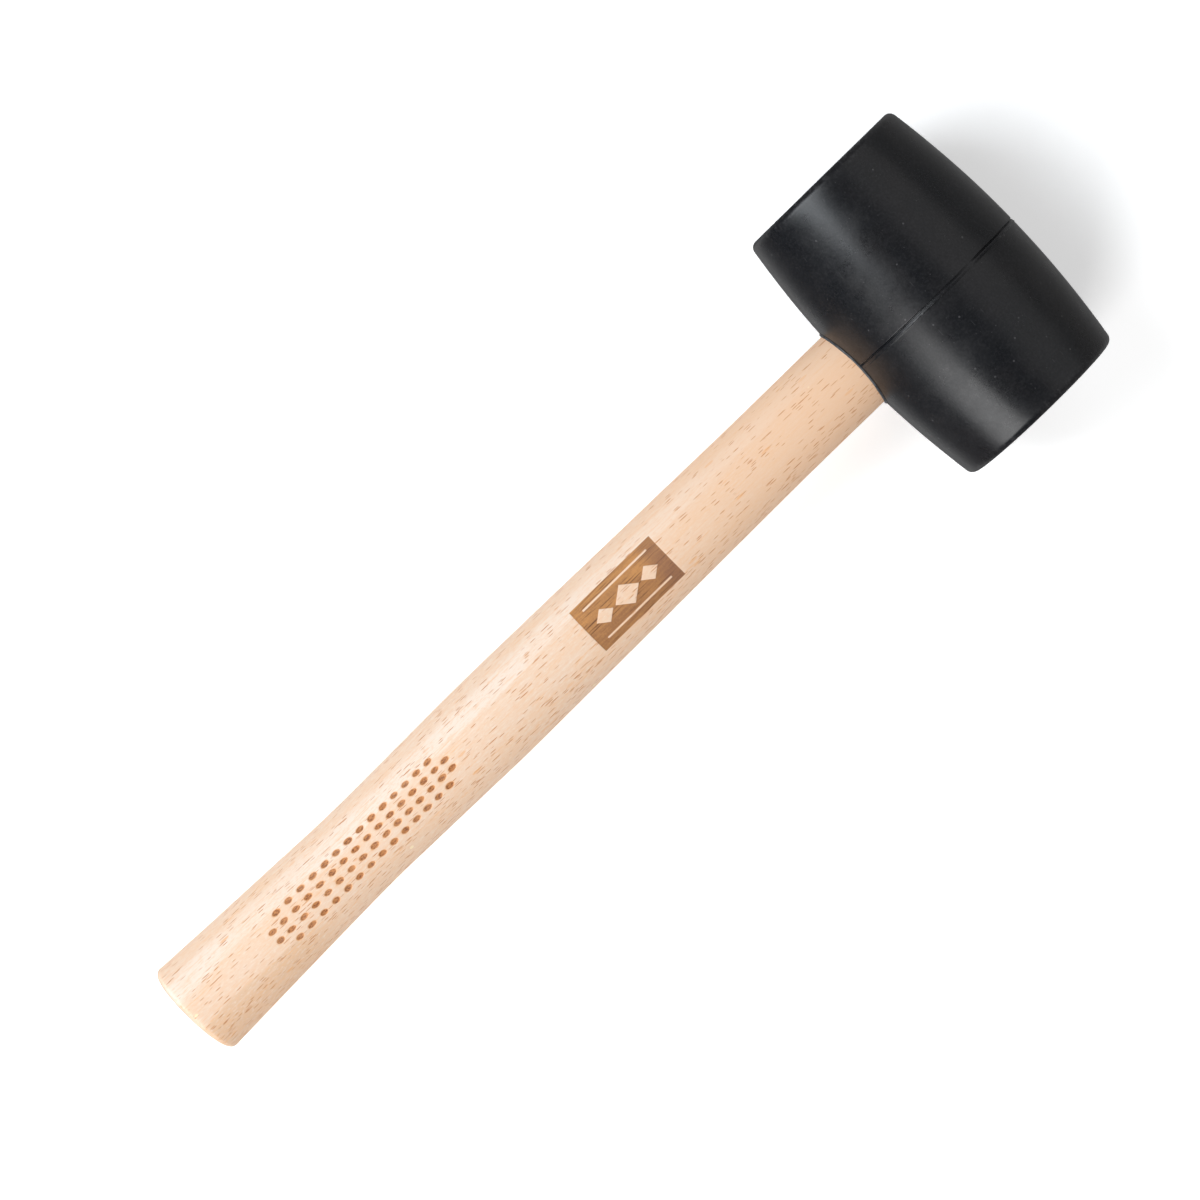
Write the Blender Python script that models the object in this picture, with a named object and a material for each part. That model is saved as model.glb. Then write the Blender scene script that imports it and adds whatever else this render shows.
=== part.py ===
"""Rubber mallet: a barrel-shaped rubber head pressed onto an oval beech handle.

Metres, +Z up. The mallet lies on the plane Z = 0 as it lies on a bench: on the belly of
the barrel and on the rim of the handle's butt. +X runs from the butt towards the head,
and the head's axis lies along Y, so both striking faces are square to Y.

Every piece is modelled in one local frame and hung from the empty "mallet". That frame's
origin is the head's centre, where the handle's axis (local X) crosses the head's axis
(local Y). The grip's dimples face local +Z. The handle ends in a blind socket, so the
barrel's far side is closed.
"""
from math import asin, atan2, cos, hypot, pi, sin

import bmesh
import bpy
from mathutils import Matrix, Vector

# Head, moulded in one piece of rubber
HEAD_LENGTH = 0.095
HEAD_DIAMETER = 0.065  # at the belly, midway between the faces
BARREL_BULGE = 0.00375  # how far the belly stands out past the edge of a striking face
FACE_FILLET = 0.0025
SOCKET_FLOOR = 0.010  # rubber left between the socket and the barrel's far side

# Handle, shaped from beech; stations are measured from the butt's end. Its section is an
# oval, wider along the head (local Y) than it is deep (local Z).
BUTT_TO_HEAD_AXIS = 0.3102
BUTT_WIDTH = 0.0326
BUTT_DEPTH = 0.0296
BUTT_DOME = 0.0010
BUTT_RIM_RADIUS = 0.0032
FLARE_STATION = 0.0183
FLARE_WIDTH = 0.0312
FLARE_DEPTH = 0.0280
WAIST_STATION = 0.0724
WAIST_WIDTH = 0.0277
WAIST_DEPTH = 0.0243
SWELL_STATION = 0.1296
SWELL_WIDTH = 0.0293
SWELL_DEPTH = 0.0251
NECK_TO_HEAD_AXIS = 0.0689
NECK_WIDTH = 0.0268
NECK_DEPTH = 0.0217
CORNER_BLEND = 0.009  # half the length over which two tapers run into each other
TENON_CHAMFER = 0.0015

# Grip: burnt dimples in rows along the handle, on the side that faces up
GRIP_COLUMNS = 14
GRIP_ROWS = 4
GRIP_START = 0.0420
GRIP_PITCH_AT_BUTT = 0.00516
GRIP_PITCH_AT_HEAD = 0.00464
GRIP_TIP_SHARE = 0.906  # of the pitch beside it, to the lone pair at each end
GRIP_ROW_PITCH_AT_BUTT = 0.00339
GRIP_ROW_PITCH_AT_HEAD = 0.00322
GRIP_OFFSET_AT_BUTT = -0.0008
GRIP_OFFSET_AT_HEAD = 0.00013
DIMPLE_LENGTH = 0.0029
DIMPLE_WIDTH = 0.00164
DIMPLE_DEPTH = 0.0004

SOCKET_CLEARANCE = 0.0003  # stands for the tight press fit round the tenon

# How finely round shapes are cut into flats
HEAD_SEGMENTS = 64
SOCKET_SEGMENTS = 64
HANDLE_SEGMENTS = 48
BELLY_STEPS = 13  # odd, so that the barrel has a flat band where it rests
FILLET_STEPS = 5
BLEND_STEPS = 5
DOME_STEPS = 3
DIMPLE_SEGMENTS = 8
DIMPLE_RINGS = 4
MERGE_DISTANCE = 1e-6
SMOOTH_BELOW = pi / 6
CUTTER_OVERSHOOT = 0.004

HEAD_RADIUS = HEAD_DIAMETER / 2
BUTT_X = -BUTT_TO_HEAD_AXIS
SOCKET_END_X = HEAD_RADIUS - SOCKET_FLOOR
TENON_END_X = SOCKET_END_X - SOCKET_CLEARANCE


def clear_scene():
    for old in list(bpy.data.objects):
        bpy.data.objects.remove(old, do_unlink=True)


def material(name, colour, roughness):
    made = bpy.data.materials.new(name)
    made.use_nodes = True
    shader = made.node_tree.nodes["Principled BSDF"]
    shader.inputs["Base Color"].default_value = (*colour, 1.0)
    shader.inputs["Roughness"].default_value = roughness
    made.diffuse_color = (*colour, 1.0)
    return made


def new_object(name, bm, parent, surface=None):
    bmesh.ops.remove_doubles(bm, verts=bm.verts, dist=MERGE_DISTANCE)
    bmesh.ops.recalc_face_normals(bm, faces=bm.faces)
    mesh = bpy.data.meshes.new(name)
    bm.to_mesh(mesh)
    bm.free()
    made = bpy.data.objects.new(name, mesh)
    bpy.context.scene.collection.objects.link(made)
    made.parent = parent
    if surface:
        mesh.materials.append(surface)
        mesh.shade_smooth()
        mesh.set_sharp_from_angle(angle=SMOOTH_BELOW)
    else:
        made.hide_render = True
        made.display_type = "WIRE"
    return made


def cut(target, cutter):
    modifier = target.modifiers.new(cutter.name, "BOOLEAN")
    modifier.operation = "DIFFERENCE"
    modifier.solver = "EXACT"
    modifier.object = cutter


def arc(centre, radius, start, end, steps):
    """Points on a circle, from angle start to angle end, both included."""
    angles = [start + (end - start) * i / steps for i in range(steps + 1)]
    return [(centre[0] + radius * cos(a), centre[1] + radius * sin(a)) for a in angles]


def blended(corners, blend, steps):
    """Points on a line through corners, each inner corner eased over blend on both sides."""
    points = [corners[0]]
    for before, corner, after in zip(corners, corners[1:], corners[2:]):
        before, corner, after = Vector(before), Vector(corner), Vector(after)
        start = corner + (before - corner).normalized() * blend
        end = corner + (after - corner).normalized() * blend
        for i in range(steps + 1):
            t = i / steps
            point = start.lerp(corner, t).lerp(corner.lerp(end, t), t)
            points.append(tuple(point))
    points.append(corners[-1])
    return points


def turned(outline, segments):
    """Spins an outline of (distance along Y, radius) about local Y into a solid."""
    bm = bmesh.new()
    line = [bm.verts.new((0, d, r)) for d, r in outline]
    edges = [bm.edges.new(pair) for pair in zip(line, line[1:])]
    bmesh.ops.spin(
        bm,
        geom=line + edges,
        cent=(0, 0, 0),
        axis=(0, 1, 0),
        angle=2 * pi,
        steps=segments,
        use_duplicate=False,
    )
    bmesh.ops.remove_doubles(bm, verts=bm.verts, dist=MERGE_DISTANCE)
    return bm


def ovals(outline, segments):
    """Joins an oval at each (x, half width, half depth) into a solid along local X."""
    bm = bmesh.new()
    rings = []
    for x, half_width, half_depth in outline:
        ring = []
        for i in range(segments):
            turn = 2 * pi * i / segments
            ring.append(bm.verts.new((x, half_width * sin(turn), half_depth * cos(turn))))
        rings.append(ring)
    bm.faces.new(rings[0])
    bm.faces.new(rings[-1])
    for ring, following in zip(rings, rings[1:]):
        for i in range(segments):
            j = (i + 1) % segments
            bm.faces.new((ring[i], ring[j], following[j], following[i]))
    return bm


def barrel_outline():
    half = HEAD_LENGTH / 2
    belly_radius = (half**2 + BARREL_BULGE**2) / (2 * BARREL_BULGE)
    belly_centre = HEAD_RADIUS - belly_radius
    # The fillet touches the face at half and the belly's arc from inside.
    fillet_y = half - FACE_FILLET
    reach = belly_radius - FACE_FILLET
    fillet_r = belly_centre + (reach**2 - fillet_y**2) ** 0.5
    lean = asin(fillet_y / reach)
    fillet = arc((fillet_y, fillet_r), FACE_FILLET, pi / 2 - lean, 0, FILLET_STEPS)
    step = 2 * lean / BELLY_STEPS
    angles = [pi / 2 + lean - step * i for i in range(1, BELLY_STEPS)]
    belly = [(belly_radius * cos(a), belly_centre + belly_radius * sin(a)) for a in angles]
    far_side = [(-y, r) for y, r in reversed(fillet)]
    return [(-half, 0.0), *far_side, *belly, *fillet, (half, 0.0)]


def handle_outline():
    """(x, half width, half depth) from the middle of the butt to the tenon's end."""
    sizes = (
        (BUTT_X + BUTT_RIM_RADIUS, BUTT_WIDTH, BUTT_DEPTH),
        (BUTT_X + FLARE_STATION, FLARE_WIDTH, FLARE_DEPTH),
        (BUTT_X + WAIST_STATION, WAIST_WIDTH, WAIST_DEPTH),
        (BUTT_X + SWELL_STATION, SWELL_WIDTH, SWELL_DEPTH),
        (-NECK_TO_HEAD_AXIS, NECK_WIDTH, NECK_DEPTH),
        (TENON_END_X - TENON_CHAMFER, NECK_WIDTH, NECK_DEPTH),
    )
    corners = [(x, width / 2, depth / 2) for x, width, depth in sizes]
    body = blended(corners, CORNER_BLEND, BLEND_STEPS)
    # The dome rises from the rim's inner edge to the butt's end.
    inner_width = BUTT_WIDTH / 2 - BUTT_RIM_RADIUS
    inner_depth = BUTT_DEPTH / 2 - BUTT_RIM_RADIUS
    dome = []
    for i in range(1, DOME_STEPS + 1):
        share = i / (DOME_STEPS + 1)
        dome.append((BUTT_X + BUTT_DOME * share**2, inner_width * share, inner_depth * share))
    rim_depth = BUTT_RIM_RADIUS - BUTT_DOME
    rim = []
    for i in range(FILLET_STEPS):
        turn = pi / 2 * i / FILLET_STEPS
        x = BUTT_X + BUTT_RIM_RADIUS - rim_depth * cos(turn)
        grown = BUTT_RIM_RADIUS * sin(turn)
        rim.append((x, inner_width + grown, inner_depth + grown))
    tip = (
        TENON_END_X,
        NECK_WIDTH / 2 - TENON_CHAMFER,
        NECK_DEPTH / 2 - TENON_CHAMFER,
    )
    return [*dome, *rim, *body, tip]


def oval_at(station):
    """The handle's half width and half depth at a station, read from its outline."""
    x = BUTT_X + station
    outline = handle_outline()
    for (x0, *before), (x1, *after) in zip(outline, outline[1:]):
        if x0 <= x < x1:
            share = (x - x0) / (x1 - x0)
            return [a + (b - a) * share for a, b in zip(before, after)]
    return [NECK_WIDTH / 2, NECK_DEPTH / 2]


def grip_stations():
    """Each column's station from the butt, the pitch shrinking evenly towards the head."""
    stations = [GRIP_START]
    gaps = GRIP_COLUMNS - 1
    for i in range(gaps):
        share = i / (gaps - 1)
        pitch = GRIP_PITCH_AT_BUTT + (GRIP_PITCH_AT_HEAD - GRIP_PITCH_AT_BUTT) * share
        stations.append(stations[-1] + pitch)
    return stations


def grip_spots():
    """(station, offset along Y) of every dimple; the rows draw together towards the head."""
    stations = grip_stations()
    first, last = stations[0], stations[-1]
    every_row = [row - (GRIP_ROWS - 1) / 2 for row in range(GRIP_ROWS)]
    columns = [(station, every_row) for station in stations]
    before = first - GRIP_TIP_SHARE * GRIP_PITCH_AT_BUTT
    after = last + GRIP_TIP_SHARE * GRIP_PITCH_AT_HEAD
    columns += [(before, every_row[1:-1]), (after, every_row[1:-1])]
    spots = []
    for station, rows in columns:
        share = (station - first) / (last - first)
        pitch = GRIP_ROW_PITCH_AT_BUTT + (GRIP_ROW_PITCH_AT_HEAD - GRIP_ROW_PITCH_AT_BUTT) * share
        middle = GRIP_OFFSET_AT_BUTT + (GRIP_OFFSET_AT_HEAD - GRIP_OFFSET_AT_BUTT) * share
        spots += [(station, middle + row * pitch) for row in rows]
    return spots


def make_head(mallet, rubber):
    head = new_object("rubber_head", turned(barrel_outline(), HEAD_SEGMENTS), mallet, rubber)
    half_width = NECK_WIDTH / 2 + SOCKET_CLEARANCE
    half_depth = NECK_DEPTH / 2 + SOCKET_CLEARANCE
    mouth = -HEAD_RADIUS - CUTTER_OVERSHOOT
    bore = [(mouth, half_width, half_depth), (SOCKET_END_X, half_width, half_depth)]
    socket = new_object("socket_cutter", ovals(bore, SOCKET_SEGMENTS), mallet)
    cut(head, socket)
    return head


def make_handle(mallet, beech):
    solid = ovals(handle_outline(), HANDLE_SEGMENTS)
    handle = new_object("beech_handle", solid, mallet, beech)
    cut(handle, grip_cutter(mallet))
    return handle


def grip_cutter(mallet):
    """One small ellipsoid for each dimple, centred on the handle's surface."""
    bm = bmesh.new()
    for station, y in grip_spots():
        half_width, half_depth = oval_at(station)
        z = half_depth * (1 - (y / half_width) ** 2) ** 0.5
        slant = atan2(y / half_width**2, z / half_depth**2)
        place = Matrix.Translation((BUTT_X + station, y, z))
        lean = Matrix.Rotation(-slant, 4, "X")
        size = Matrix.Diagonal((DIMPLE_LENGTH / 2, DIMPLE_WIDTH / 2, DIMPLE_DEPTH, 1))
        bmesh.ops.create_uvsphere(
            bm,
            u_segments=DIMPLE_SEGMENTS,
            v_segments=DIMPLE_RINGS,
            radius=1.0,
            matrix=place @ lean @ size,
        )
    return new_object("grip_cutter", bm, mallet)


def lie_down(mallet, pieces):
    """Tips the mallet onto its belly and butt, and centres its box over the origin."""
    # The butt's lowest point is where its rim meets the flare.
    rim_distance = BUTT_TO_HEAD_AXIS - BUTT_RIM_RADIUS
    half_depth = BUTT_DEPTH / 2
    reach = hypot(rim_distance, half_depth)
    slope = asin(HEAD_RADIUS / reach) - atan2(half_depth, rim_distance)
    mallet.rotation_euler = (0, -slope, 0)
    bpy.context.view_layer.update()
    graph = bpy.context.evaluated_depsgraph_get()
    corners = []
    for piece in pieces:
        solid = piece.evaluated_get(graph)
        mesh = solid.to_mesh()
        corners += [solid.matrix_world @ vertex.co for vertex in mesh.vertices]
        solid.to_mesh_clear()
    low = [min(corner[i] for corner in corners) for i in range(3)]
    high = [max(corner[i] for corner in corners) for i in range(3)]
    mallet.location = (-(low[0] + high[0]) / 2, -(low[1] + high[1]) / 2, -low[2])


def build():
    clear_scene()
    mallet = bpy.data.objects.new("mallet", None)
    bpy.context.scene.collection.objects.link(mallet)
    rubber = material("black_rubber", (0.022, 0.022, 0.024), 0.45)
    beech = material("beech", (0.90, 0.72, 0.56), 0.55)
    pieces = [make_head(mallet, rubber), make_handle(mallet, beech)]
    lie_down(mallet, pieces)


build()
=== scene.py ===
"""Looks for the rubber mallet: a moulded rubber head on an oval beech handle.

Metres throughout. Shapes are worked out in the mallet's own frame, whose origin is the eye
centre: X runs along the handle towards the head, Y along the head, and the grip faces Z.
"into_row_frame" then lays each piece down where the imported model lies.
"""
from math import asin, atan2, cos, hypot, pi, radians, sin

import bmesh
import bpy
import numpy as np
from mathutils import Matrix, Vector, noise


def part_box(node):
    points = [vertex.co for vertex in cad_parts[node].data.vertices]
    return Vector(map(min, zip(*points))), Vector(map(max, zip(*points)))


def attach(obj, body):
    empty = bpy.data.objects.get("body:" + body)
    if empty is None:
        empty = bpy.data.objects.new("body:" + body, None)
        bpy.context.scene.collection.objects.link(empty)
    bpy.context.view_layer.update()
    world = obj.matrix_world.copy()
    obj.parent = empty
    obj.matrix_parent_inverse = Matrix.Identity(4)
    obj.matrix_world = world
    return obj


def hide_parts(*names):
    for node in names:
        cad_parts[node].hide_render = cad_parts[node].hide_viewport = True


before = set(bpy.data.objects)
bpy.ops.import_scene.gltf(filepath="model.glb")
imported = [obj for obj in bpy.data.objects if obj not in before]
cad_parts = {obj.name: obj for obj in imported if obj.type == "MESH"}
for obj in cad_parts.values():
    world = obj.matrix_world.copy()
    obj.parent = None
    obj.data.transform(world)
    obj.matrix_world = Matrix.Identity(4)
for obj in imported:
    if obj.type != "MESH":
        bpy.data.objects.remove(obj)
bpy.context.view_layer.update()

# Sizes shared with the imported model
HEAD_LENGTH = 0.095
HEAD_RADIUS = 0.0325
BARREL_BULGE = 0.00375
FACE_FILLET = 0.0025
BUTT_TO_HEAD_AXIS = 0.3102
BUTT = (0.0163, 0.0148)  # half width along the head, half depth
BUTT_DOME = 0.0010
BUTT_RIM = 0.0032
NECK = (0.0134, 0.01085)
TAPERS = (  # (distance from the butt, half width, half depth) where one taper meets the next
    (0.0183, 0.0156, 0.0140),
    (0.0724, 0.01385, 0.01215),
    (0.1296, 0.01465, 0.01255),
    (BUTT_TO_HEAD_AXIS - 0.0689, *NECK),
)
CORNER_BLEND = 0.009
SOCKET_FLOOR = 0.010
SOCKET_END = HEAD_RADIUS - SOCKET_FLOOR
TENON_END = SOCKET_END - 0.0003
TENON_CHAMFER = 0.0015

# Grip dimples
GRIP_COLUMNS = 14
GRIP_ROWS = 4
GRIP_START = 0.0420
GRIP_PITCHES = (0.00516, 0.00464)  # next to the butt, next to the head
GRIP_TIP_SHARE = 0.906
GRIP_ROW_PITCHES = (0.00339, 0.00322)
GRIP_OFFSETS = (-0.0008, 0.00013)  # of the pattern's middle, at its butt and head ends
DIMPLE_LENGTH = 0.0029
DIMPLE_WIDTH = 0.00164
DIMPLE_DEPTH = 0.00036

# Burnt label, a plain geometric mark
LABEL_STATION = 0.1834
LABEL_OFFSET = -0.0007
LABEL_LENGTH = 0.0329
LABEL_WIDTH = 0.0158
LABEL_DEPTH = 0.00010
# Its bare marks: lozenges (centre, half length, half width) between two lines
LOZENGES = ((-0.0092, 0.0034, 0.0026), (0.0, 0.0048, 0.0037), (0.0092, 0.0034, 0.0026))
LABEL_LINES = (-0.0055, 0.0055)
LINE_WIDTH = 0.0006
LINE_LENGTH = 0.0262

# How far the wood is from true
BUTT_SKEW = -0.025  # the butt is cut a little out of square
SKEW_REACH = 0.012
SANDING_WAVES = 0.0028  # share of the radius
SANDING_WAVE_SIZE = 0.011

# Rubber details
HEAD_COLUMNS = 540
SOCKET_GAP = 0.00018
LIP_RADIUS = 0.00050
SEAM_SIDE = -0.0006  # the parting line runs this far from the barrel's middle
SEAM_GROOVE = 0.00038
GROOVE_SPREAD = 0.00022
SEAM_RIDGE = 0.00022
RIDGE_SPREAD = 0.00020
RIDGE_OFFSET = -0.00105  # from the groove
MOULD_WAVES = 0.0016  # share of the radius
MOULD_WAVE_SIZE = 0.016

# How the mallet lies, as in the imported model
rim_distance = BUTT_TO_HEAD_AXIS - BUTT_RIM
SLOPE = asin(HEAD_RADIUS / hypot(rim_distance, BUTT[1])) - atan2(BUTT[1], rim_distance)
head_low, head_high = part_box("rubber_head")
EYE = Vector(((head_low.x + head_high.x) / 2, 0, HEAD_RADIUS))
MALLET = Matrix.Translation(EYE) @ Matrix.Rotation(-SLOPE, 4, "Y")


# ---------------------------------------------------------------- mesh helpers

def ripple(points, size, seed):
    """Smooth noise from about -1 to 1 at each point, with bumps of that size."""
    spots = np.asarray(points, float).reshape(-1, 3) / size + seed * 7.31
    found = np.array([noise.noise(spot) for spot in spots])
    return found.reshape(np.asarray(points).shape[:-1])


def ring_mesh(name, rings, outward_first):
    """A closed skin over rings of points, with a centre point closing each end.

    outward_first is True where walking along a ring and then to the next ring turns
    the face outwards.
    """
    count, around = rings.shape[:2]
    poles = np.array([rings[0].mean(axis=0), rings[-1].mean(axis=0)])
    points = np.vstack([rings.reshape(-1, 3), poles])
    index = np.arange(count * around).reshape(count, around)
    here, beside = index[:-1], np.roll(index[:-1], -1, axis=1)
    above, above_beside = index[1:], np.roll(index[1:], -1, axis=1)
    quads = np.stack([here, beside, above_beside, above], axis=-1).reshape(-1, 4)
    start = np.stack([np.roll(index[0], -1), index[0], np.full(around, len(points) - 2)], axis=-1)
    end = np.stack([index[-1], np.roll(index[-1], -1), np.full(around, len(points) - 1)], axis=-1)
    faces = [*quads.tolist(), *start.tolist(), *end.tolist()]
    if not outward_first:
        faces = [face[::-1] for face in faces]
    mesh = bpy.data.meshes.new(name)
    mesh.from_pydata(points.tolist(), [], faces)
    mesh.update()
    return mesh


def link(name, data):
    """A new object in the scene."""
    made = bpy.data.objects.new(name, data)
    bpy.context.scene.collection.objects.link(made)
    return made


def new_piece(name, mesh, material, node):
    piece = link(name, mesh)
    mesh.materials.append(material)
    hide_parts(node)
    return piece


def read(elements, name, kind, width=1):
    """One property of every element of a mesh, in one flat array."""
    values = np.empty(len(elements) * width, kind)
    elements.foreach_get(name, values)
    return values


def boolean(target, tool, operation):
    modifier = target.modifiers.new(operation.lower(), "BOOLEAN")
    modifier.operation = operation
    modifier.solver = "EXACT"
    modifier.object = tool
    apply_modifiers(target)
    bpy.data.objects.remove(tool, do_unlink=True)


def apply_modifiers(piece):
    graph = bpy.context.evaluated_depsgraph_get()
    evaluated = piece.evaluated_get(graph)
    made = bpy.data.meshes.new_from_object(evaluated, preserve_all_data_layers=True, depsgraph=graph)
    piece.modifiers.clear()
    piece.data = made


def into_row_frame(piece, crease=radians(40)):
    piece.data.transform(MALLET)
    piece.data.shade_smooth()
    piece.data.set_sharp_from_angle(angle=crease)
    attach(piece, "root")


def eased(edge0, edge1, x):
    t = np.clip((x - edge0) / (edge1 - edge0), 0, 1)
    return t * t * (3 - 2 * t)


# ---------------------------------------------------------------- handle

def handle_profile():
    """(distance from the butt, half width, half depth) from the rim to the tenon's chamfer."""
    corners = [(BUTT_RIM, *BUTT), *TAPERS]
    corners.append((BUTT_TO_HEAD_AXIS + TENON_END - TENON_CHAMFER, *NECK))
    outline = [corners[0]]
    for before, corner, after in zip(corners, corners[1:], corners[2:]):
        before, corner, after = Vector(before), Vector(corner), Vector(after)
        start = corner + (before - corner).normalized() * CORNER_BLEND
        end = corner + (after - corner).normalized() * CORNER_BLEND
        for t in np.linspace(0, 1, 17):
            outline.append(tuple(start.lerp(corner, t).lerp(corner.lerp(end, t), t)))
    outline.append(corners[-1])
    return np.array(outline)


def grip_spots():
    """(station, offset along Y) of every dimple; the rows draw together towards the head."""
    pitches = np.linspace(*GRIP_PITCHES, GRIP_COLUMNS - 1)
    stations = GRIP_START + np.concatenate([[0], np.cumsum(pitches)])
    first, last = stations[0], stations[-1]
    every_row = np.arange(GRIP_ROWS) - (GRIP_ROWS - 1) / 2
    columns = [(station, every_row) for station in stations]
    columns.append((first - GRIP_TIP_SHARE * GRIP_PITCHES[0], every_row[1:-1]))
    columns.append((last + GRIP_TIP_SHARE * GRIP_PITCHES[1], every_row[1:-1]))
    spots = []
    for station, rows in columns:
        share = (station - first) / (last - first)
        pitch = GRIP_ROW_PITCHES[0] + (GRIP_ROW_PITCHES[1] - GRIP_ROW_PITCHES[0]) * share
        middle = GRIP_OFFSETS[0] + (GRIP_OFFSETS[1] - GRIP_OFFSETS[0]) * share
        spots += [(station, middle + row * pitch) for row in rows]
    return spots


def handle_stations():
    """Places of the body's rings along the handle: close together where the wood is marked."""
    fine_grip = (GRIP_START - 0.0065, GRIP_START + 0.0695, 0.00025)
    fine_label = (LABEL_STATION - 0.0175, LABEL_STATION + 0.0175, 0.00032)
    coarse = 0.0016
    end = BUTT_TO_HEAD_AXIS + TENON_END - TENON_CHAMFER
    stretches = (
        (BUTT_RIM, fine_grip[0], coarse),
        fine_grip,
        (fine_grip[1], fine_label[0], coarse),
        fine_label,
        (fine_label[1], end, coarse),
    )
    stations = []
    for start, stop, step in stretches:
        stations += list(np.linspace(start, stop, round((stop - start) / step), endpoint=False))
    return np.array([*stations, end])


def handle_angles():
    """Column angles round the oval from +Z towards +Y: close together on the marked side."""
    marked = radians(40)
    fine = np.linspace(-marked, marked, 76, endpoint=False)
    rest = np.linspace(marked, 2 * pi - marked, 76, endpoint=False)
    return np.concatenate([fine, rest])


def dimple_variations():
    """Each dimple's (station, offset, half length, half width, turn, depth, seed)."""
    random = np.random.default_rng(11)
    found = []
    for station, offset in grip_spots():
        longer, wider, turn, deeper, seed = random.uniform(-1, 1, 5)
        found.append((
            station + 0.00008 * turn,
            offset,
            DIMPLE_LENGTH / 2 * (1 + 0.08 * longer),
            DIMPLE_WIDTH / 2 * (1 + 0.09 * wider),
            radians(5) * turn,
            DIMPLE_DEPTH * (1 + 0.2 * deeper),
            seed,
        ))
    return found


def dimple_coordinates(x, y, dimple):
    """Where points lie in a dimple: its rim is at distance 1 from (0, 0)."""
    station, offset, long, wide, turn = dimple[:5]
    along, across = x - station, y - offset
    u = (along * cos(turn) + across * sin(turn)) / long
    v = (across * cos(turn) - along * sin(turn)) / wide
    return u, v


def label_burn(x, y):
    """1 where the label is burnt in and 0 elsewhere: the panel less its bare marks."""
    u, v = x - LABEL_STATION, y - LABEL_OFFSET
    panel = (np.abs(u) < LABEL_LENGTH / 2) & (np.abs(v) < LABEL_WIDTH / 2)
    return (panel & ~label_bare(u, v)).astype(float)


def label_bare(u, v):
    """Whether each point is in one of the label's lozenges or lines."""
    bare = np.zeros(np.shape(u), bool)
    for centre, long, wide in LOZENGES:
        bare |= np.abs(u - centre) / long + np.abs(v) / wide < 1
    for line in LABEL_LINES:
        bare |= (np.abs(v - line) < LINE_WIDTH / 2) & (np.abs(u) < LINE_LENGTH / 2)
    return bare


def handle_outline():
    """(distance from the butt, half width, half depth) of every ring round the handle."""
    profile = handle_profile()
    stations = handle_stations()
    shares = np.linspace(0.08, 1, 9)[:, None]
    inner = np.array(BUTT) - BUTT_RIM
    dome = np.hstack([BUTT_DOME * shares**2, inner * shares])
    turns = np.linspace(0, pi / 2, 12)[1:-1, None]
    depth = BUTT_RIM - BUTT_DOME
    rim = np.hstack([BUTT_RIM - depth * np.cos(turns), inner + BUTT_RIM * np.sin(turns)])
    body = np.stack([np.interp(stations, profile[:, 0], profile[:, i]) for i in (0, 1, 2)], axis=-1)
    end = BUTT_TO_HEAD_AXIS + TENON_END
    tip = np.array([(end, *(np.array(NECK) * share)) for share in (0.88, 0.6, 0.3)])
    return np.vstack([dome, rim, body, tip])


def burnt_depth(x, y):
    """How deep the dimples and the label are burnt in at each point of the marked side."""
    sunk = LABEL_DEPTH * label_burn(x, y)
    for dimple in dimple_variations():
        u, v = dimple_coordinates(x, y, dimple)
        inside = np.clip(1 - u**2 - v**2, 0, 1)
        sunk = np.maximum(sunk, dimple[5] * inside**0.45)
    return sunk


def make_handle(material):
    angles = handle_angles()
    outline = handle_outline()
    x = np.repeat(outline[:, :1], len(angles), axis=1)
    y = outline[:, 1:2] * np.sin(angles)
    z = outline[:, 2:] * np.cos(angles)
    # Hand sanding leaves the surface a few hundredths of a millimetre from true.
    waves = ripple(np.stack([x * 0.35, y, z], axis=-1), SANDING_WAVE_SIZE, 1)
    uneven = 1 + SANDING_WAVES * waves
    marked_side = np.cos(angles) > 0
    sunk = burnt_depth(x, y) * marked_side
    x = x + BUTT_SKEW * y * np.exp(-x / SKEW_REACH)
    rings = np.stack([x - BUTT_TO_HEAD_AXIS, y * uneven, z * uneven - sunk], axis=-1)
    mesh = ring_mesh("handle", rings, outward_first=False)
    handle = new_piece("handle", mesh, material, "beech_handle")
    mark_dimples(handle.data)
    into_row_frame(handle)


NO_DIMPLE = 9.0  # a place outside every dimple
DIMPLE_REACH = 3.0  # a face further from every dimple than this belongs to none


def mark_dimples(mesh):
    """Gives every face corner its place in the face's nearest dimple, for the burnt colour."""
    points = read(mesh.vertices, "co", np.float32, 3).reshape(-1, 3)
    corners = read(mesh.loops, "vertex_index", np.int32)
    starts = read(mesh.polygons, "loop_start", np.int32)
    totals = read(mesh.polygons, "loop_total", np.int32)
    centres = np.add.reduceat(points[corners], starts, axis=0) / totals[:, None]
    dimples = dimple_variations()
    nearest = np.repeat(nearest_dimples(centres, dimples), totals)
    x, y = points[:, 0] + BUTT_TO_HEAD_AXIS, points[:, 1]
    spot = np.full((len(corners), 3), (NO_DIMPLE, NO_DIMPLE, 0.0), np.float32)
    for i, dimple in enumerate(dimples):
        mine = nearest == i
        u, v = dimple_coordinates(x[corners[mine]], y[corners[mine]], dimple)
        spot[mine] = np.stack([u, v, np.full(len(u), dimple[6])], axis=-1)
    attribute = mesh.attributes.new("dimple", "FLOAT_VECTOR", "CORNER")
    attribute.data.foreach_set("vector", spot.ravel())


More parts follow.
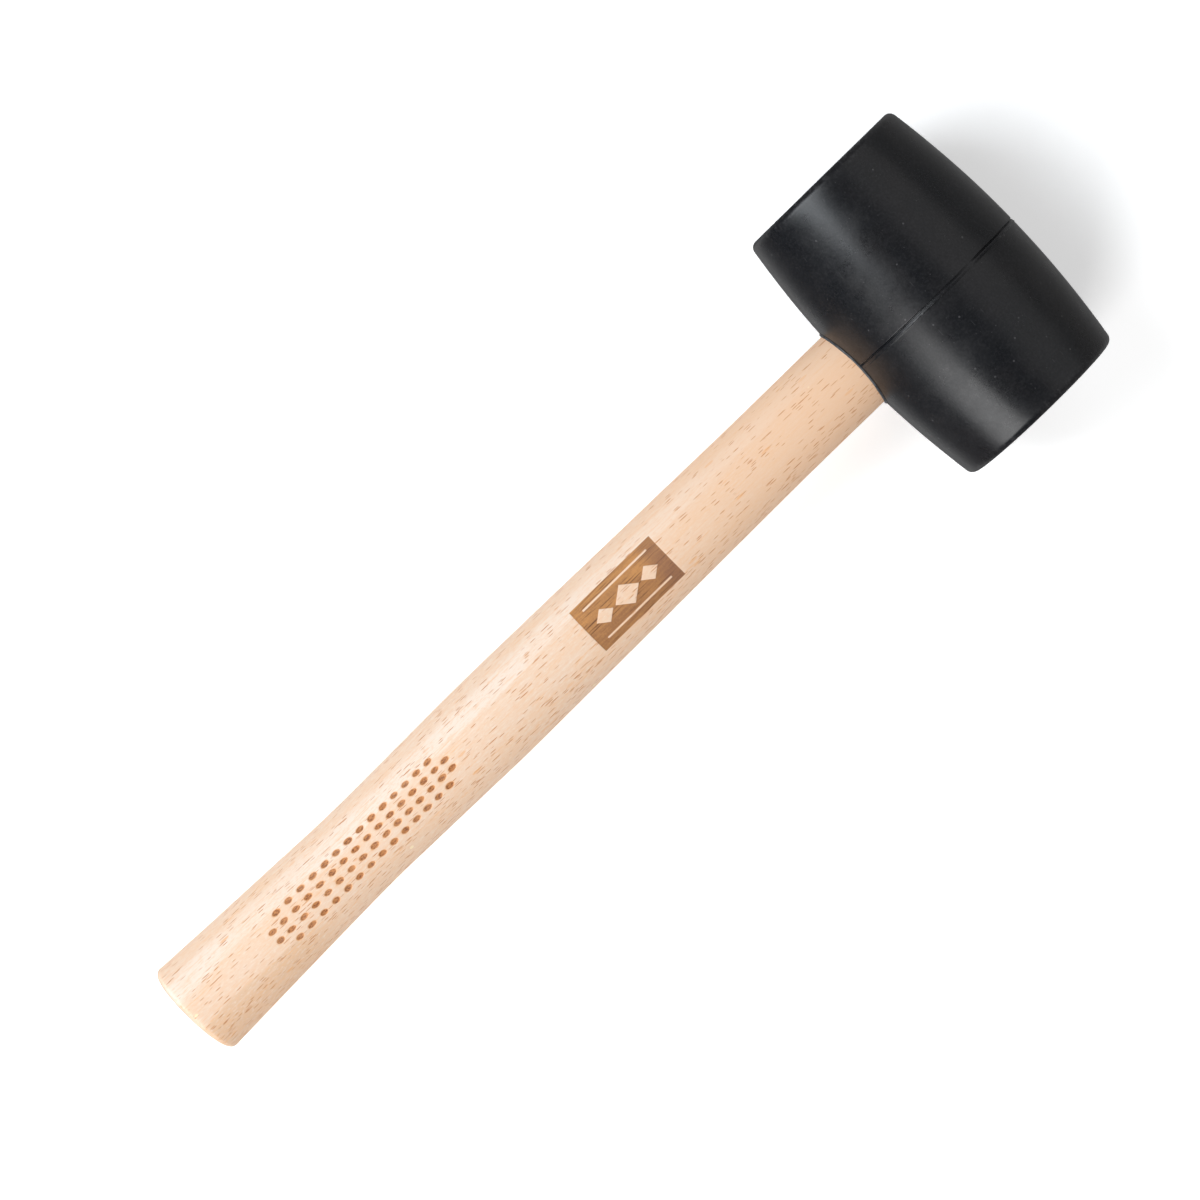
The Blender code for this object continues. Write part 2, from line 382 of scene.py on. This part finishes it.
def nearest_dimples(centres, dimples):
    """Which dimple is nearest to each face's centre, or -1 where none is within reach."""
    nearest = np.full(len(centres), -1)
    best = np.full(len(centres), DIMPLE_REACH)
    for i, dimple in enumerate(dimples):
        u, v = dimple_coordinates(centres[:, 0] + BUTT_TO_HEAD_AXIS, centres[:, 1], dimple)
        distance = np.where(centres[:, 2] > 0, np.hypot(u, v), NO_DIMPLE)
        closer = distance < best
        nearest[closer] = i
        best[closer] = distance[closer]
    return nearest


# ---------------------------------------------------------------- head

BELLY_RADIUS = ((HEAD_LENGTH / 2) ** 2 + BARREL_BULGE**2) / (2 * BARREL_BULGE)
BELLY_CENTRE = HEAD_RADIUS - BELLY_RADIUS


def belly(y):
    return BELLY_CENTRE + np.sqrt(BELLY_RADIUS**2 - np.asarray(y) ** 2)


def seam_strength(angle):
    """(groove, ridge) of the parting line round the barrel; angle 0 is the upper side.

    Going from the handle over the top, the line is clear, nearly stops just past the top,
    and is at its strongest after that.
    """
    turn = np.mod(angle, 2 * pi)
    keys = np.radians([0, 14, 24, 31, 38, 62, 90, 180, 270, 300, 330, 352, 360])
    grooves = [0.7, 0.8, 0.2, 1.2, 1.3, 1.5, 0.7, 0.6, 1.0, 1.1, 1.1, 0.7, 0.7]
    ridges = [1.0, 1.3, 0.2, 2.4, 2.6, 1.4, 0.6, 0.7, 0.5, 0.7, 0.7, 0.8, 0.9]
    return np.interp(turn, keys, grooves), np.interp(turn, keys, ridges)


def seam_shape(angles):
    """The parting line at each angle: its sideways wander, its groove and its ragged ridge."""
    groove, ridge = seam_strength(angles)
    circle = np.stack([np.sin(angles), np.cos(angles), np.zeros(len(angles))], axis=-1)
    edge = circle * HEAD_RADIUS
    wander = 0.00010 * ripple(edge, 0.006, 2)
    wander += 0.00004 * ripple(edge, 0.0015, 5)
    groove = SEAM_GROOVE * groove * (1 + 0.45 * ripple(edge, 0.0022, 9))
    ridge = SEAM_RIDGE * ridge * (1 + 0.6 * ripple(edge, 0.0016, 12))
    return wander, groove, ridge


def barrel_outline():
    """(place along the head, radius) of every ring; None where the belly gives the radius."""
    fillet_y = HEAD_LENGTH / 2 - FACE_FILLET
    lean = asin(fillet_y / (BELLY_RADIUS - FACE_FILLET))
    side = (BELLY_RADIUS - FACE_FILLET) * cos(lean) + BELLY_CENTRE
    turns = np.linspace(pi / 2 - lean, 0, 9)
    fillet = [(fillet_y + FACE_FILLET * cos(a), side + FACE_FILLET * sin(a)) for a in turns]
    face = [(HEAD_LENGTH / 2, side * share) for share in (0.97, 0.75, 0.5, 0.25, 0.08)]
    right = [*fillet, *face]
    left = [(-y, radius) for y, radius in reversed(right)]
    # Over the parting line the rings are close together.
    fine = SEAM_SIDE + np.arange(-0.0018, 0.0008, 0.00008)
    coarse = np.linspace(0.0034, fillet[0][0], 18)[:-1]
    body = np.concatenate([-coarse[::-1], fine, [0.0007, 0.0014, 0.0023], coarse])
    return [*left, *[(y, None) for y in body], *right]


def barrel_ring(y, radius, angles, seam):
    """The points of one ring round the barrel."""
    shifted = np.full(len(angles), y)
    if radius is None:
        wander, groove, ridge = seam
        shifted = y + wander * (1 - eased(0.004, 0.012, abs(y)))
        # The two halves of the mould meet in a thin groove with a ridge beside it.
        from_groove = y - SEAM_SIDE
        from_ridge = y - SEAM_SIDE - RIDGE_OFFSET
        radius = belly(shifted) - groove * np.exp(-((from_groove / GROOVE_SPREAD) ** 2))
        radius = radius + ridge * np.exp(-((from_ridge / RIDGE_SPREAD) ** 2))
    return np.stack([radius * np.sin(angles), shifted, radius * np.cos(angles)], axis=-1)


def make_head(material):
    angles = np.linspace(0, 2 * pi, HEAD_COLUMNS, endpoint=False)
    seam = seam_shape(angles)
    rings = np.stack([barrel_ring(y, radius, angles, seam) for y, radius in barrel_outline()])
    # Moulded rubber is never quite true: slow waves of a few hundredths of a millimetre.
    scale = 1 + MOULD_WAVES * ripple(rings, MOULD_WAVE_SIZE, 4)
    rings[..., 0] *= scale
    rings[..., 2] *= scale
    mesh = ring_mesh("head", rings, outward_first=True)
    head = new_piece("head", mesh, material, "rubber_head")
    boolean(head, lip(), "UNION")
    boolean(head, bore(), "DIFFERENCE")
    into_row_frame(head, radians(50))


def bore():
    """The socket's hollow, from outside the barrel to the socket's end."""
    angles = np.linspace(0, 2 * pi, 128, endpoint=False)
    wide, deep = NECK[0] + SOCKET_GAP, NECK[1] + SOCKET_GAP
    ends = (-HEAD_RADIUS - 0.004, SOCKET_END)
    rings = np.array([[(x, wide * sin(a), deep * cos(a)) for a in angles] for x in ends])
    return link("bore", ring_mesh("bore", rings, outward_first=False))


def lip():
    """The thin moulded lip that hugs the handle where it leaves the barrel."""
    around, section = 160, 12
    angles = np.linspace(0, 2 * pi, around, endpoint=False)
    offset = SOCKET_GAP + LIP_RADIUS * 0.75
    y, z = (NECK[0] + offset) * np.sin(angles), (NECK[1] + offset) * np.cos(angles)
    x = LIP_RADIUS * 0.15 - np.sqrt(belly(y) ** 2 - z**2)
    swell = 1 + 0.22 * ripple(np.stack([x, y, z], axis=-1), 0.004, 6)
    points, faces = [], []
    for i in range(around):
        out = Vector((0, sin(angles[i]), cos(angles[i])))
        along = Vector((-1, 0, 0))
        centre = Vector((x[i], y[i], z[i]))
        for j in range(section):
            turn = 2 * pi * j / section
            points.append(centre + (out * cos(turn) + along * sin(turn)) * LIP_RADIUS * swell[i])
    for i in range(around):
        k = (i + 1) % around
        for j in range(section):
            m = (j + 1) % section
            face = (i * section + j, i * section + m, k * section + m, k * section + j)
            faces.append(face)
    mesh = bpy.data.meshes.new("lip")
    mesh.from_pydata(points, [], faces)
    bm = bmesh.new()
    bm.from_mesh(mesh)
    bmesh.ops.recalc_face_normals(bm, faces=bm.faces)
    bm.to_mesh(mesh)
    bm.free()
    return link("lip", mesh)


# ---------------------------------------------------------------- materials

class Graph:
    """Short calls for building the nodes of one material or world."""

    def __init__(self, owner, shader):
        owner.use_nodes = True
        self.owner = owner
        self.tree = owner.node_tree
        self.shader = self.tree.nodes[shader]

    def add(self, kind, inputs=None, **settings):
        made = self.tree.nodes.new(kind)
        for key, value in settings.items():
            setattr(made, key, value)
        for key, value in (inputs or {}).items():
            self.feed(made.inputs[key], value)
        return made

    def feed(self, socket, value):
        if isinstance(value, bpy.types.NodeSocket):
            self.tree.links.new(value, socket)
        else:
            socket.default_value = value

    def set(self, name, value):
        self.feed(self.shader.inputs[name], value)

    def math(self, operation, a, b=0.0, c=0.0, clamp=False):
        made = self.add("ShaderNodeMath", {0: a, 1: b, 2: c}, operation=operation, use_clamp=clamp)
        return made.outputs[0]

    def times(self, a, b):
        return self.math("MULTIPLY", a, b)

    def plus(self, a, b):
        return self.math("ADD", a, b)

    def line(self, value, slope, start):
        """value * slope + start"""
        return self.math("MULTIPLY_ADD", value, slope, start)

    def larger(self, a, b):
        return self.math("MAXIMUM", a, b)

    def size(self, value):
        return self.math("ABSOLUTE", value)

    def length(self, a, b):
        return self.math("SQRT", self.plus(self.times(a, a), self.times(b, b)))

    def ramp(self, value, low, high, start=0.0, end=1.0, interpolation="LINEAR"):
        """Goes from start to end as value goes from low to high."""
        made = self.add(
            "ShaderNodeMapRange",
            {"Value": value, "From Min": low, "From Max": high, "To Min": start, "To Max": end},
            interpolation_type=interpolation,
        )
        return made.outputs["Result"]

    def step(self, value, low, high, start=0.0, end=1.0):
        """As ramp, with soft ends."""
        return self.ramp(value, low, high, start, end, "SMOOTHSTEP")

    def mix(self, share, a, b):
        """The colour a where share is 0, and b where it is 1."""
        made = self.add("ShaderNodeMix", data_type="RGBA", blend_type="MIX")
        self.feed(made.inputs[0], share)
        self.feed(made.inputs[6], a)
        self.feed(made.inputs[7], b)
        return made.outputs[2]

    def noise(self, place, scale, detail=2.0, roughness=0.5):
        made = self.add("ShaderNodeTexNoise", {
            "Vector": place, "Scale": scale, "Detail": detail, "Roughness": roughness,
        })
        return made.outputs["Fac"]

    def cells(self, place):
        """Scattered cells: the distance to each one's middle, and its own random colour."""
        return self.add("ShaderNodeTexVoronoi", {"Vector": place, "Scale": 1.0}).outputs

    def stretched(self, place, x, y, z, shift=(0, 0, 0)):
        """Coordinates counted in cells of x by y by z metres."""
        made = self.add("ShaderNodeMapping", {
            "Vector": place, "Scale": (1 / x, 1 / y, 1 / z), "Location": shift,
        })
        return made.outputs[0]

    def mallet_place(self):
        """Coordinates in the mallet's own frame."""
        coordinates = self.add("ShaderNodeTexCoord").outputs["Object"]
        back = MALLET.inverted()
        made = self.add("ShaderNodeMapping", {
            "Vector": coordinates,
            "Location": back.translation,
            "Rotation": back.to_euler(),
        })
        return made.outputs[0]

    def split(self, place):
        made = self.add("ShaderNodeSeparateXYZ", {0: place})
        return made.outputs

    def bump(self, height, strength, distance):
        made = self.add(
            "ShaderNodeBump", {"Height": height, "Strength": strength, "Distance": distance}
        )
        return made.outputs[0]


def material_graph(name):
    return Graph(bpy.data.materials.new(name), "Principled BSDF")


def colour(r, g, b):
    return (r, g, b, 1.0)


# Wood
PALE = colour(0.790, 0.655, 0.550)
MIDDLE = colour(0.752, 0.560, 0.423)
SHADED = colour(0.755, 0.545, 0.395)
BUTT_PATCH = colour(0.665, 0.435, 0.275)
WARM = colour(0.755, 0.485, 0.308)
STREAK = colour(0.77, 0.46, 0.25)
DEEP_STREAK = colour(0.76, 0.40, 0.18)
STROKE = colour(0.74, 0.36, 0.14)
PORE = colour(0.50, 0.195, 0.070)
KNOT = colour(0.88, 0.76, 0.50)
END_GRAIN = colour(0.50, 0.345, 0.235)
END_RING = colour(0.42, 0.26, 0.16)
# Burns
SCORCH = colour(0.76, 0.41, 0.19)
DIMPLE_BROWN = colour(0.52, 0.215, 0.072)
DIMPLE_HEART = colour(0.205, 0.066, 0.024)
LABEL_DARK = colour(0.300, 0.135, 0.056)
LABEL_LIGHT = colour(0.490, 0.230, 0.078)
LABEL_PORE = colour(0.105, 0.040, 0.022)
LABEL_END = colour(0.205, 0.098, 0.068)
# Rubber
RUBBER_DEEP = colour(0.0036, 0.0043, 0.0062)
RUBBER = colour(0.0078, 0.0072, 0.0084)
BLOOM = colour(0.0130, 0.0125, 0.0140)
GRAIN_LIGHT = colour(0.0160, 0.0158, 0.0175)
GRAIN_DARK = colour(0.0022, 0.0024, 0.0030)
DUST = colour(0.16, 0.155, 0.16)
# A painted highlight along the lip round the handle
LIP_PAINTED_HIGHLIGHT = colour(0.085, 0.092, 0.102)
# Painted shade in the crease between the lip and the barrel
CREASE_PAINTED_SHADE = colour(0.0015, 0.0015, 0.0015)

PITH = (-0.034, -0.052)  # where the year rings are centred, across and below the handle
RING_WIDTH = 0.0034
LABEL_SOFTNESS = 0.00007
LIP_SIDE = (-0.0240, -0.0250)  # no lip before the first place along the handle, all past the second


def spindles(g, place, cell, reach, share, shift):
    """Thin marks along a cell's longest side, one in each cell that the share keeps."""
    leaning = g.add("ShaderNodeMapping", {"Vector": place, "Rotation": (0, 0, radians(1.5))})
    found = g.cells(g.stretched(leaning.outputs[0], *cell, shift))
    body = g.step(found["Distance"], reach, reach * 0.70)
    lots = g.split(found["Color"])
    kept = g.math("LESS_THAN", lots[0], share)
    strength = g.line(lots[1], 0.5, 0.5)
    return g.times(g.times(body, kept), strength)


def beech():
    """Beech: a pale and a browner side, soft year rings, fibres and short dark ray flecks."""
    g = material_graph("beech")
    place = g.mallet_place()
    x, y, z = g.split(place)[:3]
    waver = g.noise(g.stretched(place, 0.09, 0.03, 0.03), 1.0, 3.0, 0.55)
    fibre = g.noise(g.stretched(place, 0.011, 0.00050, 0.00050), 1.0, 4.0, 0.66)
    grit = g.noise(g.stretched(place, 0.0018, 0.00050, 0.00050), 1.0, 4.0, 0.75)
    late = late_wood(g, y, z, waver)
    across = g.plus(y, g.line(waver, 0.009, -0.0045))
    browner = g.step(across, -0.0058, -0.0078)
    base = wood_sides(g, x, across, browner)
    base = g.mix(g.times(late, 0.16), base, STREAK)
    base = wood_fibres(g, place, base, fibre, grit)
    # The wood is warmer towards the head.
    base = g.mix(g.step(x, -0.17, -0.030, 0.0, 0.78), base, WARM)
    base = wood_marks(g, place, base, browner)
    base = end_grain(g, place, x, base, late)
    base, dimples = burn_dimples(g, place, base)
    base, label = burn_label(g, place, base)
    rough = g.line(fibre, 0.16, 0.46)
    rough = g.math("MULTIPLY_ADD", g.larger(dimples, label), 0.18, rough, clamp=True)
    g.set("Base Color", base)
    g.set("Roughness", rough)
    g.set("Specular IOR Level", 0.30)
    g.set("Normal", g.bump(g.plus(fibre, g.times(grit, 0.6)), 0.20, 0.00006))
    return g.owner


def late_wood(g, y, z, waver):
    """Where the darker late wood of the year rings lies; the rings waver along the handle."""
    from_pith = g.length(g.plus(y, -PITH[0]), g.plus(z, -PITH[1]))
    ring = g.math("FRACT", g.plus(g.times(from_pith, 1 / RING_WIDTH), g.times(waver, 3.4)))
    return g.times(g.step(ring, 0.35, 0.92), g.step(ring, 1.0, 0.90))


def wood_sides(g, x, across, browner):
    """Across the handle the wood goes from pale through middling to brown."""
    pale = g.times(g.step(across, 0.0046, 0.0058), g.step(across, 0.0122, 0.0098))
    base = g.mix(pale, MIDDLE, PALE)
    base = g.mix(browner, base, SHADED)
    by_butt = g.step(x, 0.056 - BUTT_TO_HEAD_AXIS, 0.040 - BUTT_TO_HEAD_AXIS)
    patch = g.times(g.step(across, -0.0048, -0.0058), by_butt)
    return g.mix(g.times(patch, 0.70), base, BUTT_PATCH)


def wood_fibres(g, place, base, fibre, grit):
    """Long streaks and short grit along the grain, both darker and paler."""
    broad = g.noise(g.stretched(place, 0.045, 0.0017, 0.0017), 1.0, 4.0, 0.6)
    layers = (
        (fibre, 0.48, 0.68, 0.55, STREAK),
        (broad, 0.56, 0.74, 0.42, STREAK),
        (fibre, 0.62, 0.72, 0.40, DEEP_STREAK),
        (broad, 0.44, 0.30, 0.35, PALE),
        (grit, 0.50, 0.66, 0.55, WARM),
        (grit, 0.49, 0.34, 0.55, PALE),
    )
    for pattern, low, high, share, tone in layers:
        base = g.mix(g.step(pattern, low, high, 0.0, share), base, tone)
    return base


def wood_marks(g, place, base, browner):
    """Ray flecks, more of them in the browner wood, a few orange strokes and pale pin knots."""
    share = g.line(browner, 0.46, 0.46)
    long = spindles(g, place, (0.0085, 0.00074, 0.00074), 0.25, share, (0, 0, 0))
    short = spindles(g, place, (0.0052, 0.00060, 0.00060), 0.26, share, (3.3, 1.7, 5.1))
    base = g.mix(g.times(g.larger(long, short), 0.92), base, PORE)
    strokes = spindles(g, place, (0.0075, 0.0018, 0.0018), 0.28, 0.10, (8.1, 2.9, 4.4))
    base = g.mix(g.times(strokes, 0.55), base, STROKE)
    knots = spindles(g, place, (0.009, 0.0065, 0.0065), 0.10, 0.16, (1.1, 6.2, 2.7))
    return g.mix(g.times(knots, 0.7), base, KNOT)


def end_grain(g, place, x, base, late):
    """The butt shows end grain: darker, with the year rings and the pores cut across."""
    end = g.step(x, 0.0024 - BUTT_TO_HEAD_AXIS, 0.0006 - BUTT_TO_HEAD_AXIS)
    pores = g.cells(g.stretched(place, 0.0007, 0.0007, 0.0007))["Distance"]
    cut = g.mix(g.times(late, 0.6), END_GRAIN, END_RING)
    cut = g.mix(g.step(pores, 0.26, 0.12, 0.0, 0.5), cut, PORE)
    return g.mix(end, base, cut)


def burn_dimples(g, place, base):
    """Burns the grip's dimples into the wood; also gives where the burn is."""
    spot = g.add("ShaderNodeAttribute", attribute_name="dimple").outputs["Vector"]
    u, v, seed = g.split(spot)[:3]
    edge = g.noise(g.stretched(place, 0.0009, 0.0004, 0.0004), 1.0, 2.0)
    # From 0 at a dimple's middle to 1 at its rim, a little ragged
    out = g.plus(g.length(u, v), g.line(edge, 0.26, -0.13))
    halo = g.step(out, 1.45, 0.95, 0.0, 0.60)
    core = g.step(out, 1.10, 0.88)
    streaks = g.noise(g.stretched(place, 0.0022, 0.00022, 0.00022), 1.0, 3.0, 0.6)
    patches = g.noise(g.stretched(place, 0.0009, 0.00045, 0.00045), 1.0, 2.0, 0.6)
    heart = g.line(v, -0.22, g.step(out, 1.0, 0.55, 0.0, 0.50))
    heart = g.plus(heart, g.step(patches, 0.44, 0.62, -0.25, 0.60))
    heart = g.math("ADD", heart, g.line(streaks, 0.5, -0.25), clamp=True)
    brown = g.mix(heart, DIMPLE_BROWN, DIMPLE_HEART)
    lift = g.math("MULTIPLY_ADD", seed, 0.08, 0.90, clamp=True)
    base = g.mix(halo, base, SCORCH)
    return g.mix(g.times(core, lift), base, brown), core


def burn_label(g, place, base):
    """Burns the label into the wood; also gives where the burn is."""
    x, y, z = g.split(place)[:3]
    along = g.plus(x, BUTT_TO_HEAD_AXIS - LABEL_STATION)
    across = g.math("SUBTRACT", y, LABEL_OFFSET)
    panel = g.times(
        label_band(g, along, LABEL_LENGTH / 2),
        label_band(g, across, LABEL_WIDTH / 2),
    )
    panel = g.times(panel, g.step(z, 0.0, 0.001))
    burn = g.times(panel, g.math("SUBTRACT", 1.0, label_gaps(g, along, across)))
    return g.mix(burn, base, label_brown(g, place, along, across)), burn


def label_band(g, value, reach):
    """1 where value is within reach of 0, with a slightly soft edge."""
    return g.step(g.size(value), reach + LABEL_SOFTNESS, reach - LABEL_SOFTNESS)


def label_gaps(g, along, across):
    """The label's bare lozenges and lines."""
    bare = 0.0
    for centre, long, wide in LOZENGES:
        beside = g.math("DIVIDE", g.size(g.math("SUBTRACT", along, centre)), long)
        above = g.math("DIVIDE", g.size(across), wide)
        bare = g.larger(bare, g.step(g.plus(beside, above), 1.02, 0.98))
    for line in LABEL_LINES:
        near = label_band(g, g.math("SUBTRACT", across, line), LINE_WIDTH / 2)
        within = label_band(g, along, LINE_LENGTH / 2)
        bare = g.larger(bare, g.times(near, within))
    return bare


def label_brown(g, place, along, across):
    """The burn's fine raster over the wood's grain, with dark pores and a darker end."""
    raster = g.noise(g.stretched(place, 0.00036, 0.0009, 0.0009), 1.0, 1.0)
    grain = g.noise(g.stretched(place, 0.013, 0.0011, 0.0011), 1.0, 4.0, 0.65)
    lines = g.noise(g.stretched(place, 0.012, 0.00042, 0.00042), 1.0, 2.0, 0.6)
    shade = g.line(g.step(across, -0.004, 0.006), 0.45, g.step(grain, 0.32, 0.70, 0.0, 0.65))
    shade = g.math("ADD", shade, g.line(raster, 0.90, -0.46), clamp=True)
    brown = g.mix(shade, LABEL_DARK, LABEL_LIGHT)
    brown = g.mix(g.step(lines, 0.57, 0.68, 0.0, 0.80), brown, LABEL_PORE)
    return g.mix(g.step(along, 0.008, 0.014, 0.0, 0.45), brown, LABEL_END)


def rubber():
    """Black moulded rubber: satin, faintly blotched with bloom, with dust and fine grain."""
    g = material_graph("black_rubber")
    place = g.mallet_place()
    x, y, z = g.split(place)[:3]
    blotch = g.noise(place, 70.0, 5.0, 0.68)
    fine = g.noise(place, 900.0, 3.0, 0.6)
    smear = g.noise(g.stretched(place, 0.0014, 0.0019, 0.0014), 1.0, 4.0, 0.72)
    base = rubber_ground(g, place, blotch)
    dust = g.larger(g.times(specks(g, place), 0.30), g.times(rubbed_rims(g, y, smear), 0.22))
    base = g.mix(dust, base, DUST)
    # The lip round the handle gets a painted highlight, and the crease behind it painted shade.
    painted_highlight, crease = lip_marks(g, x, y, z, smear)
    base = g.mix(g.times(painted_highlight, 0.75), base, LIP_PAINTED_HIGHLIGHT)
    base = g.mix(crease, base, CREASE_PAINTED_SHADE)
    rough = g.line(blotch, 0.34, 0.07)
    rough = g.line(crease, 0.45, rough)
    rough = g.line(smear, 0.18, rough)
    rough = g.math("SUBTRACT", rough, 0.015)
    g.set("Base Color", base)
    g.set("Roughness", rough)
    g.set("Specular IOR Level", 0.4)
    g.set("Normal", g.bump(g.plus(g.times(fine, 0.5), smear), 0.22, 0.00007))
    return g.owner


def rubber_ground(g, place, blotch):
    """Broad dark and less dark areas, blotches of bloom and a fine grain."""
    wide = g.noise(g.stretched(place, 0.03, 0.05, 0.03), 1.0, 3.0, 0.6)
    grain = g.noise(place, 1500.0, 2.0, 0.6)
    base = g.mix(g.step(wide, 0.40, 0.62), RUBBER_DEEP, RUBBER)
    base = g.mix(g.step(blotch, 0.46, 0.74, 0.0, 0.6), base, BLOOM)
    base = g.mix(g.step(grain, 0.48, 0.66, 0.0, 0.45), base, GRAIN_LIGHT)
    return g.mix(g.step(grain, 0.46, 0.32, 0.0, 0.60), base, GRAIN_DARK)


def specks(g, place):
    """Specks of dust in two sizes, and a few short scratches along the head."""
    found = g.times(spindles(g, place, (0.0011, 0.0130, 0.0011), 0.12, 0.12, (2.2, 0.4, 7.7)), 0.5)
    for cell, share, shift in ((0.0024, 0.10, 0.0), (0.0011, 0.08, 4.7)):
        cells = g.cells(g.stretched(place, cell, cell, cell, (shift, shift, shift)))
        kept = g.math("LESS_THAN", g.split(cells["Color"])[0], share)
        found = g.larger(found, g.times(g.step(cells["Distance"], 0.17, 0.06), kept))
    return found


def rubbed_rims(g, y, smear):
    """Where handling has rubbed the rims a little paler."""
    rim = g.step(g.size(y), HEAD_LENGTH / 2 - 0.0040, HEAD_LENGTH / 2 - 0.0006)
    return g.times(rim, g.step(smear, 0.50, 0.66, 0.0, 0.55))


def lip_marks(g, x, y, z, smear):
    """(a painted highlight on the lip round the handle, painted shade in the crease behind it)"""
    oval_y = g.math("DIVIDE", y, NECK[0] + SOCKET_GAP)
    oval_z = g.math("DIVIDE", z, NECK[1] + SOCKET_GAP)
    oval = g.length(oval_y, oval_z)
    near = g.step(x, *LIP_SIDE)
    # Painted highlight on the lip's bead, broken up by the smear noise
    painted_highlight = g.times(g.step(oval, 1.030, 1.042), g.step(oval, 1.085, 1.070))
    painted_highlight = g.times(painted_highlight, g.times(near, g.step(smear, 0.38, 0.58, 0.35, 1.0)))
    # Painted shade in the crease just outside the lip
    crease = g.times(g.step(oval, 1.082, 1.092), g.step(oval, 1.128, 1.112))
    return painted_highlight, g.times(crease, near)


# ---------------------------------------------------------------- stage, camera and lights

FRAME_WIDTH = 0.3590  # what the picture spans at the handle's axis
VIEW_DISTANCE = 1.47
VIEW_ROLL = radians(44.35)  # the handle rises this steeply across the picture
VIEW_PITCH = SLOPE  # the camera looks straight down along the handle
VIEW_LEAN = radians(1.72)  # but stands a little to the +Y side
AIM_STATION = 0.1757
AIM_SIDE = 0.0033
STUDIO_DIM = 0.14
STUDIO_BRIGHT = 0.30
TABLE_GLARE = 0.42
FLOOR_SIZE = 12.0
FLOOR_GLOW = 0.42  # the floor is a white light table, so it keeps only faint shadows
COOL = (0.905, 0.957, 1.0)


def make_camera():
    camera = link("camera", bpy.data.cameras.new("camera"))
    camera.data.lens = camera.data.sensor_width * VIEW_DISTANCE / FRAME_WIDTH
    camera.data.clip_start, camera.data.clip_end = 0.05, 50
    aim = Matrix.Translation((AIM_STATION - BUTT_TO_HEAD_AXIS, AIM_SIDE, 0))
    lean = Matrix.Rotation(VIEW_PITCH, 4, "Y") @ Matrix.Rotation(-VIEW_LEAN, 4, "X")
    roll = Matrix.Rotation(-VIEW_ROLL, 4, "Z")
    back = Matrix.Translation((0, 0, VIEW_DISTANCE))
    camera.matrix_world = MALLET @ aim @ lean @ roll @ back
    bpy.context.scene.camera = camera


def floor_material():
    g = material_graph("floor")
    g.set("Base Color", colour(0.9, 0.9, 0.9))
    g.set("Roughness", 0.9)
    g.set("Specular IOR Level", 0.0)
    g.set("Emission Color", colour(1, 1, 1))
    g.set("Emission Strength", FLOOR_GLOW)
    return g.owner


def make_floor():
    mesh = bpy.data.meshes.new("floor")
    half = FLOOR_SIZE / 2
    corners = [(-half, -half, 0), (half, -half, 0), (half, half, 0), (-half, half, 0)]
    mesh.from_pydata(corners, [], [(0, 1, 2, 3)])
    mesh.materials.append(floor_material())
    floor = link("floor", mesh)
    floor.visible_glossy = False


def make_world():
    g = Graph(bpy.data.worlds.new("studio"), "Background")
    direction = g.split(g.add("ShaderNodeTexCoord").outputs["Generated"])
    # The studio is dim behind the butt and a little brighter beyond the head.
    studio = g.ramp(direction[0], -0.1, 0.6, STUDIO_DIM, STUDIO_BRIGHT)
    # Gloss doesn't see the floor, so low behind the butt the world stands in for the white table.
    behind = g.ramp(direction[0], -0.10, -0.45)
    below = g.ramp(direction[2], -0.50, -0.80, 0.0, TABLE_GLARE)
    g.set("Strength", g.plus(g.times(behind, below), studio))
    g.set("Color", colour(1, 1, 1))
    bpy.context.scene.world = g.owner


def softbox(name, toward, elevation, distance, size, radiance, tint=(1, 1, 1)):
    """A rectangular light aimed at the mallet.

    toward counts degrees round the picture from its right edge, and elevation from the floor.
    """
    light = bpy.data.lights.new(name, "AREA")
    light.shape = "RECTANGLE"
    light.size, light.size_y = size
    light.energy = radiance * pi * size[0] * size[1]
    light.color = tint
    lamp = link(name, light)
    turn = radians(toward) - VIEW_ROLL
    rise = radians(elevation)
    direction = Vector((cos(turn) * cos(rise), sin(turn) * cos(rise), sin(rise)))
    target = Vector((EYE.x * 0.5, 0, 0.02))
    lamp.location = target + direction * distance
    lamp.rotation_mode = "QUATERNION"
    lamp.rotation_quaternion = direction.to_track_quat("Z", "Y")
    lamp.visible_camera = False


def make_lights():
    softbox("left", toward=180, elevation=42, distance=2.0, size=(1.08, 1.45), radiance=7.6, tint=COOL)
    softbox("bottom", toward=253, elevation=35, distance=2.0, size=(1.20, 1.40), radiance=5.3)
    softbox("far", toward=44, elevation=46, distance=1.7, size=(2.6, 1.5), radiance=0.42)


make_camera()
make_floor()
make_world()
make_lights()
make_handle(beech())
make_head(rubber())
bpy.context.scene.view_settings.view_transform = "Standard"
